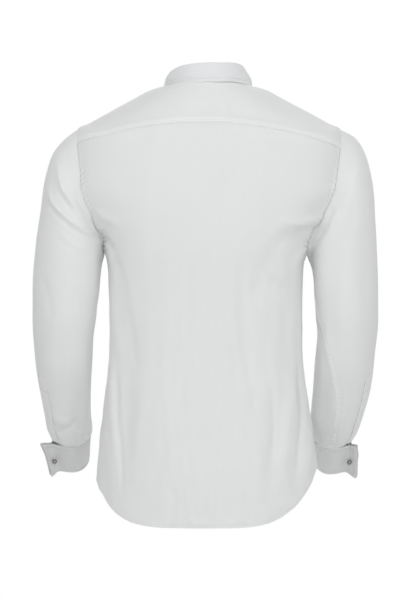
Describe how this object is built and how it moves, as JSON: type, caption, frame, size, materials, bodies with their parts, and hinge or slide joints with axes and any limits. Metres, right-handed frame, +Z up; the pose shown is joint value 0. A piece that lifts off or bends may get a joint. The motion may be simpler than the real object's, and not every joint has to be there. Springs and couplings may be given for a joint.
{
  "type": "long sleeve dress shirt",
  "caption": "Fitted long sleeve dress shirt with turned-down collar, yoke, double cuffs with links, filled out as worn.",
  "frame": {"origin": "middle of the neck opening, level with the inner ends of the shoulder line, where the wearer's shoulders carry the shirt", "axes": "+Z up, the front faces -Y, the wearer's left is +X"},
  "size_m": [0.6098, 0.2755, 0.8048],
  "materials": {
    "cotton": "white cotton poplin, pressed, matt with a slight sheen",
    "button": "pearly white four-hole buttons",
    "link": "polished silver-coloured metal"
  },
  "bodies": {
    "root": {"back": "cotton", "yoke": "cotton", "front_left": "cotton", "front_right": "cotton", "front_band": "cotton", "collar_stand": "cotton", "collar_leaf": "cotton", "sleeve_left": "cotton", "sleeve_band_left": "cotton", "cuff_left": "cotton", "sleeve_right": "cotton", "sleeve_band_right": "cotton", "cuff_right": "cotton", "button_1": "button", "button_2": "button", "button_3": "button", "button_4": "button", "button_5": "button", "button_6": "button", "button_7": "button", "button_collar": "button", "cufflink_left": "link", "cufflink_right": "link"}
  },
  "joints": []
}
